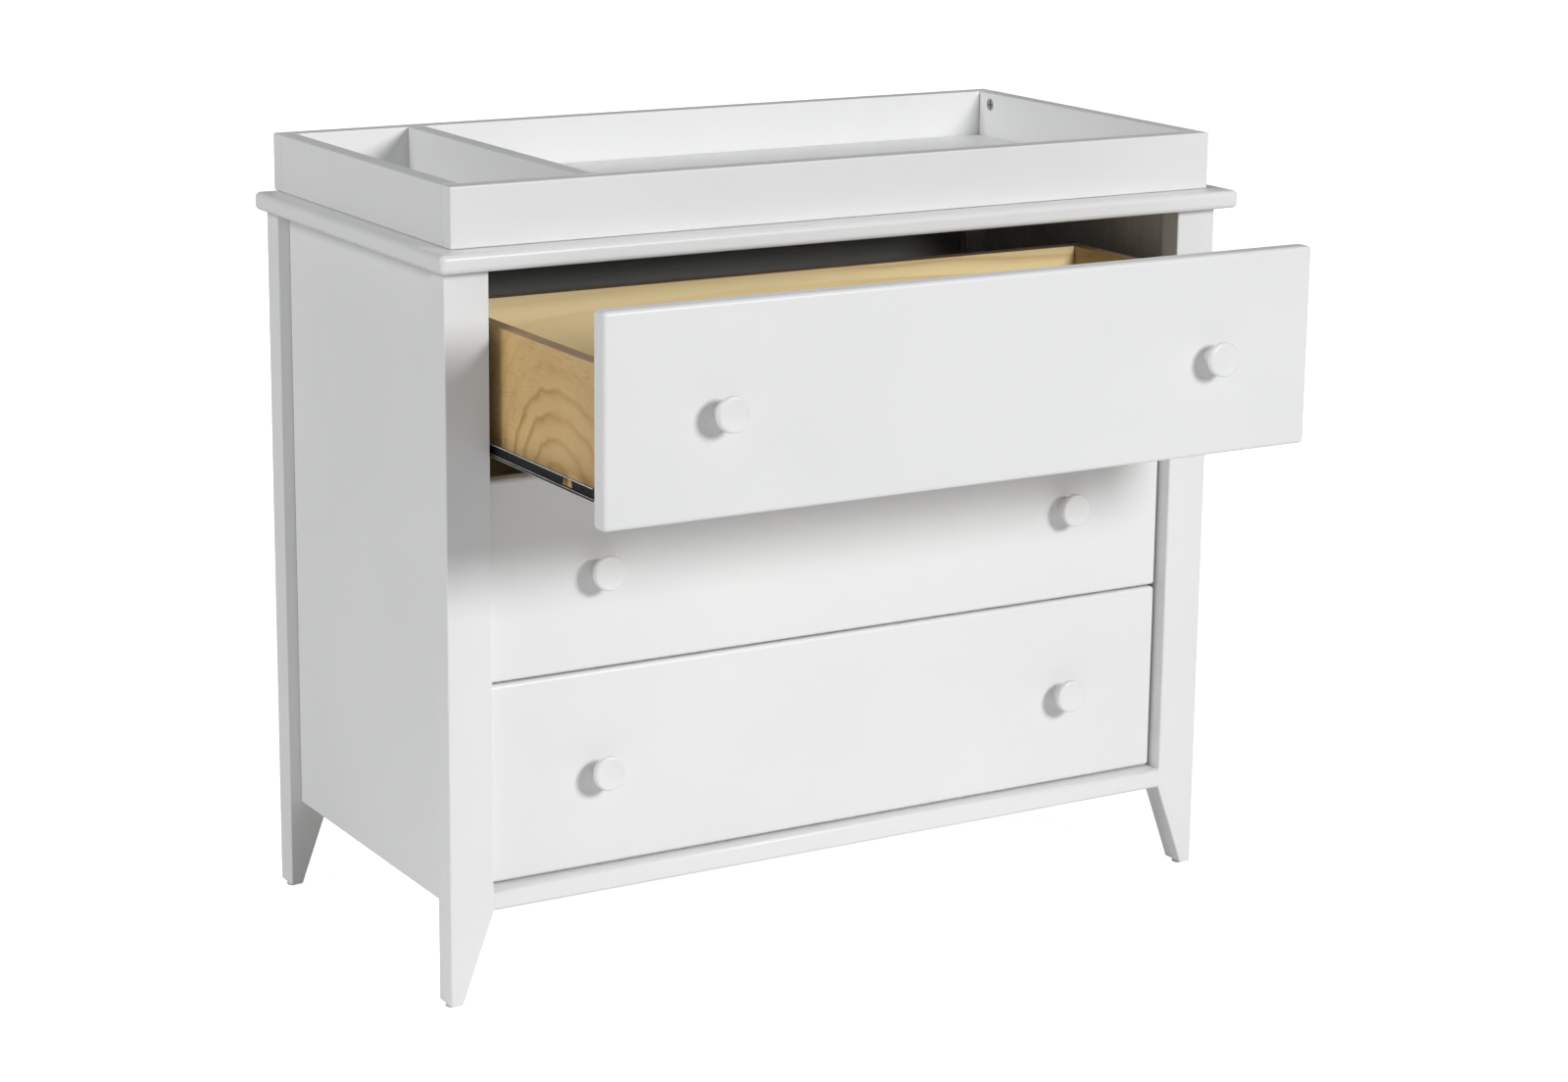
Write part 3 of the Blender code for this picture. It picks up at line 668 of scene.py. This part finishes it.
# ---------------------------------------------------------------- changing tray
def make_tray():
    for end in ("front", "rear"):
        node = f"tray_{end}_board"
        shape = bmesh.new()
        add_board(shape, *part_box(node), TRAY_ROUND)
        make_piece(node + "_finish", shape, [PAINT_GRAIN_X], "tray", "white_paint", node)
    for side, sign in SIDES.items():
        node = f"tray_{side}_board"
        low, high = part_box(node)
        inner = high.x if sign < 0 else low.x
        shape = bmesh.new()
        add_board(shape, low, high, TRAY_ROUND)
        board = make_piece(node + "_finish", shape, [PAINT_GRAIN_Y], "tray", "white_paint", node)
        z = high.z - CAM_BELOW_TOP
        locks = bmesh.new()
        for y in (low.y + CAM_FROM_END, high.y - CAM_FROM_END):
            carve(board, cam_hole((inner, y, z), sign, CAM_RADIUS, CAM_HOLE_DEPTH, steps=40))
            sunk = facing((inner + sign * CAM_SUNK, y, z), (-sign, 0, 0))
            add_cam_lock(locks, sunk, CAM_RADIUS - CAM_CLEARANCE)
        make_piece(f"tray_{side}_cam_locks", locks, [CAM_ZINC], "tray", "zinc", crisp=35)
    shape = bmesh.new()
    add_board(shape, *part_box("tray_divider"), TRAY_ROUND)
    make_piece("tray_divider_finish", shape, [PAINT_GRAIN_Y], "tray", "white_paint", "tray_divider")
    low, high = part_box("tray_floor")
    front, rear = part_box("tray_front_board"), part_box("tray_rear_board")
    left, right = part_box("tray_left_board"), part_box("tray_right_board")
    shape = bmesh.new()
    add_board(shape, (left[1].x + FLOOR_SEAM, front[1].y + FLOOR_SEAM, low.z),
              (right[0].x - FLOOR_SEAM, rear[0].y - FLOOR_SEAM, high.z), 0.0004, 2)
    make_piece("tray_floor_finish", shape, [PAINT], "tray", "white_paint", "tray_floor")


def cam_hole(spot, sign, radius, depth, steps):
    """The tool that bores a cam lock's hole into a face that looks along X."""
    hole = bmesh.new()
    profile = [(0.0, depth), (radius, depth), (radius, -depth), (0.0, -depth)]
    add_turned(hole, profile, facing(spot, (sign, 0, 0)), steps=steps)
    return hole


def add_cam_lock(shape, place, radius):
    """A cam lock's face: a low rim round a sunk disc with a wide cross slot."""
    profile = [(0.0, 0.0), (radius * 0.14, 0.0), (radius * 0.30, 0.0), (radius * 0.46, 0.0)]
    profile += [(radius * 0.58, 0.0), (radius * 0.66, 0.0), (radius * 0.80, 0.0), (radius * 0.90, 0.0001)]
    profile += [(radius, -0.0006), (radius, -0.005), (0.0, -0.005)]

    def pressed(at, level, angle):
        if level < -0.0001 or at > radius * 0.62:
            return 0.0
        arm = abs(math.sin(2 * angle)) < 0.45
        return -0.0026 if at < radius * 0.2 or arm else 0.0

    add_turned(shape, profile, place, steps=32, lift=pressed)


# ---------------------------------------------------------------- drawers
# A side's figure: the arches' heart from its front lower corner, stretch, pitch and strong reach.
BOX_GRAIN = {
    ("top", "left"): ((0.100, -0.004), (1.70, 0.95), 0.0250, 0.100),
    ("top", "right"): ((0.21, -0.02), (3.2, 2.6), 0.020, 0.10),
    ("middle", "left"): ((0.16, 0.03), (3.5, 2.2), 0.019, 0.09),
    ("middle", "right"): ((0.09, 0.16), (4.0, 3.0), 0.022, 0.10),
    ("bottom", "left"): ((0.24, 0.13), (3.0, 4.0), 0.020, 0.08),
    ("bottom", "right"): ((0.12, 0.02), (4.5, 2.8), 0.021, 0.09),
}
SIDE_TONES = ((0.705, 0.490, 0.210), (0.610, 0.400, 0.168), (0.470, 0.225, 0.062))
BACK_TONES = ((0.890, 0.720, 0.390), (0.840, 0.660, 0.345), (0.720, 0.490, 0.215))
BACK_GRAIN = ((15.0, 10.0), 0.019, 0.15)        # stretch, pitch and strong reach
BOTTOM_GRAIN = ((6.0, 7.0), 0.030, 0.14)


def knob_profile():
    """A knob's (radius, height) outline: its dished face, round the rim, and down the flared neck."""
    rim = KNOB_RADIUS - KNOB_RIM
    back = KNOB_OUT - KNOB_HEAD
    profile = [(0.0, KNOB_OUT - KNOB_DISH)]
    for step in range(1, 8):
        share = step / 8
        profile.append((rim * share, KNOB_OUT - KNOB_DISH * (1 - share ** 3)))
    profile += arc((rim, KNOB_OUT - KNOB_RIM), KNOB_RIM, 90, 0, 7)
    profile += arc((rim, back + KNOB_RIM * 0.8), KNOB_RIM, -15, -75, 4)
    hollow = back * 0.55
    for step in range(9):
        profile.append((KNOB_NECK + (rim * 0.75 - KNOB_NECK) * (1 - step / 8) ** 2,
                        back - 0.0004 - (back - hollow) * step / 8))
    profile += [(KNOB_NECK * 1.02, hollow * 0.6), (KNOB_NECK * 1.1, hollow * 0.25), (KNOB_NECK * 1.2, GAP)]
    return profile + [(0.0, GAP)]


def make_drawer(level):
    body = f"drawer_{level}"
    node = f"drawer_{level}_front"
    low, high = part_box(node)
    shape = bmesh.new()
    add_board(shape, low, high, FRONT_ROUND, 6)
    make_piece(node + "_finish", shape, [PAINT], body, "white_paint", node)

    screws = bmesh.new()
    for side in SIDES:
        node = f"drawer_{level}_{side}_knob"
        knob_low, knob_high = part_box(node)
        x, z = (knob_low.x + knob_high.x) / 2, (knob_low.z + knob_high.z) / 2
        shape = bmesh.new()
        add_turned(shape, knob_profile(), facing((x, low.y, z), (0, -1, 0)), steps=64)
        make_piece(node + "_finish", shape, [PAINT], body, "white_paint", node, crisp=45)
        add_cross_head(screws, facing((x, high.y, z), (0, 1, 0)), *KNOB_SCREW_HEAD)
    make_piece(f"drawer_{level}_knob_screws", screws, [SCREW_STEEL], body, "zinc", crisp=35)
    make_drawer_box(level)


def make_drawer_box(level):
    """Sides, back and bottom in pine veneer with sanded plywood edges, and the boxes' cam locks."""
    body = f"drawer_{level}"
    inner_faces = {}
    locks = bmesh.new()
    for side, sign in SIDES.items():
        node = f"drawer_{level}_{side}_side"
        low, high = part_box(node)
        inner_faces[side] = high.x if sign < 0 else low.x
        (along, up), stretch, pitch, strong = BOX_GRAIN[level, side]
        heart = (low.x if sign < 0 else high.x, low.y + along, low.z + up)
        face = pine(f"pine_{level}_{side}", 1, 2, (heart, stretch, pitch, strong), SIDE_TONES)
        edge = ply_edge(f"ply_edge_{level}_{side}", 0, 1, low.x)
        shape = bmesh.new()
        add_board(shape, low, high, PLY_ROUND, 2)
        board = make_piece(node + "_finish", shape, [face, edge], body, "plywood", node)
        give_faces(board, 1, lambda centre, normal: abs(normal.x) < 0.6)
        for z in (low.z + BOX_CAM_FROM_BOTTOM, high.z - BOX_CAM_FROM_TOP):
            spot = (inner_faces[side], low.y + BOX_CAM_FROM_END, z)
            carve(board, cam_hole(spot, sign, BOX_CAM_RADIUS, BOX_CAM_HOLE_DEPTH, steps=32))
            sunk = Vector(spot) + Vector((sign * CAM_SUNK, 0, 0))
            add_cam_lock(locks, facing(sunk, (-sign, 0, 0)), BOX_CAM_RADIUS - CAM_CLEARANCE)
    make_piece(f"drawer_{level}_cam_locks", locks, [CAM_ZINC], body, "zinc", crisp=35)

    node = f"drawer_{level}_back"
    low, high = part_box(node)
    heart = (low.x + 0.34 + 0.07 * LEVELS.index(level), low.y, high.z - 0.055)
    face = pine(f"pine_{level}_back", 0, 2, (heart, *BACK_GRAIN), BACK_TONES)
    edge = ply_edge(f"ply_edge_{level}_back", 1, 0, low.y)
    shape = bmesh.new()
    add_board(shape, low, high, PLY_ROUND, 2)
    board = make_piece(node + "_finish", shape, [face, edge], body, "plywood", node)
    give_faces(board, 1, lambda centre, normal: abs(normal.y) < 0.6)

    node = f"drawer_{level}_bottom"
    low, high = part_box(node)
    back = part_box(f"drawer_{level}_back")[1].y
    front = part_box(f"drawer_{level}_front")[1].y
    heart = (0.15, low.y + 0.10, high.z)
    face = pine(f"pine_{level}_bottom", 0, 1, (heart, *BOTTOM_GRAIN), BACK_TONES)
    shape = bmesh.new()
    add_board(shape, (inner_faces["left"] + GAP, front + GAP, low.z),
              (inner_faces["right"] - GAP, back, high.z), 0.0003, 1)
    make_piece(node + "_finish", shape, [face], body, "plywood", node)


# ---------------------------------------------------------------- ball-bearing runners
def make_runner(level, side):
    sign = SIDES[side]
    name = f"slide_{level}_{side}_"
    low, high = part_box(name + "cabinet_member")
    post_face = low.x if sign < 0 else high.x
    middle = (low.z + high.z) / 2

    def to_world(spot, y):
        """A section's point, as (distance from the post's face, height above the middle)."""
        return Vector((post_face - sign * spot[0], y, middle + spot[1]))

    def seat(depth, y, rise=0.0):
        return facing(to_world((depth, rise), y), (-sign, 0, 0))

    half_sheet = STEEL / 2
    edge = (high.z - low.z) / 2 - half_sheet
    strap_back = high.y
    drawer_low, drawer_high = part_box(name + "drawer_member")
    length = drawer_high.y - drawer_low.y
    flange = CABINET_DEPTH - half_sheet
    shape = bmesh.new()
    path = [(flange, edge - 2 * STEEL), (flange, edge), (half_sheet, edge),
            (half_sheet, -edge), (flange, -edge), (flange, -edge + 2 * STEEL)]
    add_folded_sheet(shape, path, low.y, low.y + length, to_world)
    strap = sorted_corners(to_world((STRAP_FROM_POST, -STRAP_HALF), low.y + length - STRAP_LAP),
                           to_world((STEEL * 0.9, STRAP_HALF), strap_back))
    add_board(shape, *strap, 0.0002, 1)
    cabinet = make_piece(name + "cabinet_member_finish", shape, [BLACK, BARE_EDGE_AND_HIGHLIGHT], "carcass",
                         "black_steel", name + "cabinet_member", crisp=40)
    give_faces(cabinet, 1, lambda centre, normal: abs(normal.y) > 0.9)
    heads = bmesh.new()
    for distance in CABINET_SCREWS:
        add_cross_head(heads, seat(STEEL, low.y + distance), *CABINET_SCREW_HEAD)
    for rise in (-STRAP_SCREW_RISE, STRAP_SCREW_RISE):
        add_cross_head(heads, seat(STEEL, strap_back - STRAP_SCREW_FROM_END, rise), *STRAP_SCREW_HEAD)
    make_piece(name + "cabinet_screws", heads, [SCREW_STEEL], "carcass", "zinc", crisp=35)

    make_drawer_member(name, level, sign, to_world, seat, drawer_low.y, drawer_high.y)
    make_cage(name, level, to_world)


def sorted_corners(first, second):
    """The lowest and the highest corner of the box that two points span."""
    pairs = list(zip(first, second))
    return Vector(min(pair) for pair in pairs), Vector(max(pair) for pair in pairs)


def make_drawer_member(name, level, sign, to_world, seat, y_front, y_rear):
    """A hat section that opens to the post, with bright bare steel on its lips as a painted highlight, on
    pressed feet at the screws.
    """
    near = MEMBER_FROM_POST + STEEL / 2
    deep = MEMBER_FROM_POST + MEMBER_DEPTH - STEEL / 2
    shape = bmesh.new()
    path = [(near, MEMBER_LIP), (near, MEMBER_FLANGE), (deep, MEMBER_FLANGE),
            (deep, -MEMBER_FLANGE), (near, -MEMBER_FLANGE), (near, -MEMBER_LOWER_LIP + LIP_BEAD)]
    add_folded_sheet(shape, path, y_front, y_rear, to_world)
    member = make_piece(name + "drawer_member_finish", shape, [BLACK, BARE_EDGE_AND_HIGHLIGHT], f"drawer_{level}",
                        "black_steel", name + "drawer_member", crisp=40)
    post_face, middle = to_world((0, 0), 0).x, to_world((0, 0), 0).z

    def painted_highlight_faces(centre, normal):
        """Faces that get bright bare steel as a painted highlight: the upper lip's face and part of the turn
        into the lower lip, picked by which way they face.
        """
        rise, to_post = centre.z - middle, normal.x * sign
        if abs(centre.x - post_face) > MEMBER_FROM_POST + 1.5 * STEEL:
            return False
        if rise > 0:
            return to_post > 0.75
        return 0.1 < to_post < 0.70

    give_faces(member, 1, painted_highlight_faces)
    carve(member, window_tool(to_world, deep, y_front))
    # The lower lip's sheared edge as a strip of bright bare steel, which is also a painted highlight along
    # the lip.
    bead = bmesh.new()
    add_board(bead, *sorted_corners(to_world((near - STEEL / 2, -MEMBER_LOWER_LIP), y_front),
                                    to_world((near + STEEL / 2, -MEMBER_LOWER_LIP + LIP_BEAD), y_rear)))
    make_piece(name + "drawer_member_lip_edge", bead, [BARE_EDGE_AND_HIGHLIGHT], f"drawer_{level}", "black_steel")
    fasten_drawer_member(name, level, sign, to_world, seat, deep, y_front)
    stop = bmesh.new()
    corners = sorted_corners(to_world((near - 0.0002, -STOP_HALF), y_rear - 0.006),
                             to_world((deep - STEEL / 2, STOP_HALF), y_rear - 0.001))
    add_board(stop, *corners, 0.0008, 3)
    make_piece(name + "stop", stop, [STOP_PLASTIC], f"drawer_{level}", "glide_plastic")


def window_tool(to_world, deep, y_front):
    """The tool that cuts the slanted window out of a drawer member's web."""
    window = bmesh.new()
    half = MEMBER_FLANGE - STEEL / 2 - 0.0002
    ends = ((WINDOW_NEAR, -half), (WINDOW_FAR, -half), (WINDOW_FAR - WINDOW_SLANT, half),
            (WINDOW_NEAR + WINDOW_SLANT, half))
    corners = []
    for depth in (deep - 0.003, deep + 0.003):
        corners.append([window.verts.new(to_world((depth, rise), y_front + run)) for run, rise in ends])
    first, second = corners
    faces = [window.faces.new(first), window.faces.new(second[::-1])]
    for index in range(4):
        after = (index + 1) % 4
        faces.append(window.faces.new((first[index], first[after], second[after], second[index])))
    bmesh.ops.recalc_face_normals(window, faces=faces)
    return window


def fasten_drawer_member(name, level, sign, to_world, seat, deep, y_front):
    """The pressed feet that hold a drawer member off the box side, and the screws through them."""
    side_face = (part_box(f"drawer_{level}_left_side")[0].x if sign < 0 else
                 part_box(f"drawer_{level}_right_side")[1].x)
    wall = abs(to_world((0, 0), 0).x - side_face)
    back = deep + STEEL / 2
    foot, root = MEMBER_FOOT
    feet, heads = bmesh.new(), bmesh.new()
    for run in MEMBER_SCREWS:
        profile = [(0.0, wall - GAP), (foot, wall - GAP), (foot + 0.0001, wall - 3 * GAP),
                   (root, back), (0.0, back)]
        add_turned(feet, profile, seat(0.0, y_front + run), steps=24)
        web_face = to_world((deep - STEEL / 2, 0), y_front + run)
        add_cross_head(heads, facing(web_face, (sign, 0, 0)), *MEMBER_SCREW_HEAD)
    make_piece(name + "drawer_member_feet", feet, [BLACK], f"drawer_{level}", "black_steel", crisp=40)
    make_piece(name + "drawer_member_screws", heads, [BLACK], f"drawer_{level}", "black_steel", crisp=35)


def make_cage(name, level, to_world):
    """A thin zinc channel with the balls held in its two arms."""
    low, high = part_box(name + "ball_cage")
    near = min(abs(corner.x - to_world((0, 0), 0).x) for corner in (low, high))
    far = max(abs(corner.x - to_world((0, 0), 0).x) for corner in (low, high))
    half = (high.z - low.z - CAGE_SHEET) / 2
    web = near + CAGE_SHEET / 2
    shape = bmesh.new()
    path = [(far, half), (web, half), (web, -half), (far, -half)]
    add_folded_sheet(shape, path, low.y, high.y, to_world, thickness=CAGE_SHEET, bend=CAGE_SHEET, steps=3)
    body = f"ball_cages_{level}"
    make_piece(name + "ball_cage_finish", shape, [ZINC], body, "zinc", name + "ball_cage", crisp=40)
    balls = bmesh.new()
    pitch = (high.y - low.y) / BALLS_IN_ROW
    for rise in (half, -half):
        for index in range(BALLS_IN_ROW):
            centre = to_world((far - BALL_RADIUS - CAGE_SHEET, rise), low.y + pitch * (index + 0.5))
            bmesh.ops.create_uvsphere(balls, u_segments=16, v_segments=10, radius=BALL_RADIUS,
                                      matrix=Matrix.Translation(centre))
    make_piece(name + "balls", balls, [SCREW_STEEL], body, "zinc", crisp=80)


# ---------------------------------------------------------------- stage, camera and light
def make_floor():
    mesh = bpy.data.meshes.new("studio_floor")
    shape = bmesh.new()
    bmesh.ops.create_grid(shape, x_segments=1, y_segments=1, size=FLOOR_REACH)
    shape.to_mesh(mesh)
    shape.free()
    graph = Graph("studio_floor", roughness=0.9)
    graph.colour((0.86, 0.86, 0.86, 1.0))
    graph.shader.inputs["Emission Color"].default_value = (1.0, 1.0, 1.0, 1.0)
    graph.shader.inputs["Emission Strength"].default_value = FLOOR_GLOW
    mesh.materials.append(graph.material)
    floor = bpy.data.objects.new("studio_floor", mesh)
    bpy.context.scene.collection.objects.link(floor)
    floor.location.z = cad_box[0].z - GAP
    glow_only_on = bpy.data.collections.new("lit_by_the_floors_glow")
    glow_only_on.objects.link(floor)
    floor.light_linking.receiver_collection = glow_only_on


def make_camera():
    back = direction(CAMERA_AZIMUTH, CAMERA_ELEVATION)
    camera = bpy.data.objects.new("camera", bpy.data.cameras.new("camera"))
    bpy.context.scene.collection.objects.link(camera)
    camera.location = CAMERA_PLACE
    camera.rotation_mode = "QUATERNION"
    turn = (-back).to_track_quat("-Z", "Y")
    roll = Matrix.Rotation(math.radians(CAMERA_ROLL), 4, "Z").to_quaternion()
    camera.rotation_quaternion = turn @ roll
    camera.data.sensor_width = 36.0
    camera.data.lens = CAMERA_LENS
    camera.data.shift_y = CAMERA_SHIFT_Y
    camera.data.clip_end = 100.0
    bpy.context.scene.camera = camera


def direction(azimuth, elevation):
    """Away from the object: azimuth degrees to the right of the front's normal, elevation degrees up."""
    azimuth, elevation = math.radians(azimuth), math.radians(elevation)
    return Vector((math.sin(azimuth) * math.cos(elevation), -math.cos(azimuth) * math.cos(elevation),
                   math.sin(elevation)))


def add_sun(name, azimuth, elevation, strength, softness):
    towards = direction(azimuth, elevation)
    lamp = bpy.data.lights.new(name, "SUN")
    lamp.energy = strength
    lamp.angle = math.radians(softness)
    light = bpy.data.objects.new(name, lamp)
    bpy.context.scene.collection.objects.link(light)
    light.rotation_mode = "QUATERNION"
    light.rotation_quaternion = towards.to_track_quat("Z", "Y")


def add_panel_light(name, target, azimuth, elevation, distance, strength, across):
    """A round soft light at a distance from target, as strong everywhere as it is there."""
    towards = direction(azimuth, elevation)
    lamp = bpy.data.lights.new(name, "AREA")
    lamp.shape = "DISK"
    lamp.size = across
    lamp.energy = strength * math.pi
    lamp.use_nodes = True
    falloff = lamp.node_tree.nodes.new("ShaderNodeLightFalloff")
    falloff.inputs["Strength"].default_value = 1.0
    lamp.node_tree.links.new(falloff.outputs["Constant"], lamp.node_tree.nodes["Emission"].inputs["Strength"])
    light = bpy.data.objects.new(name, lamp)
    bpy.context.scene.collection.objects.link(light)
    light.location = Vector(target) + towards * distance
    light.rotation_mode = "QUATERNION"
    light.rotation_quaternion = towards.to_track_quat("Z", "Y")
    light.visible_camera = False


def make_light():
    low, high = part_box("drawer_middle_front")
    target = ((low.x + high.x) / 2, low.y, high.z)
    add_panel_light("key_light", target, KEY_AZIMUTH, KEY_ELEVATION, KEY_DISTANCE, KEY_STRENGTH, KEY_ACROSS)
    add_sun("side_light", SIDE_AZIMUTH, SIDE_ELEVATION, SIDE_STRENGTH, SIDE_SOFTNESS)
    world = bpy.data.worlds.new("studio")
    world.use_nodes = True
    nodes, links = world.node_tree.nodes, world.node_tree.links
    seen = nodes.new("ShaderNodeLightPath").outputs["Is Camera Ray"]
    strength = nodes.new("ShaderNodeMapRange")
    strength.inputs["To Min"].default_value = SKY_STRENGTH
    strength.inputs["To Max"].default_value = BACKDROP
    links.new(seen, strength.inputs["Value"])
    links.new(strength.outputs["Result"], nodes["Background"].inputs["Strength"])
    nodes["Background"].inputs["Color"].default_value = SKY_TINT
    bpy.context.scene.world = world
    bpy.context.scene.view_settings.view_transform = "Standard"


# ---------------------------------------------------------------- the whole object
make_camera()
make_floor()
make_light()
make_posts()
make_glides()
make_panels()
make_top()
make_rails()
make_back_screws()
make_tray()
for drawer_level in LEVELS:
    make_drawer(drawer_level)
    for drawer_side in SIDES:
        make_runner(drawer_level, drawer_side)
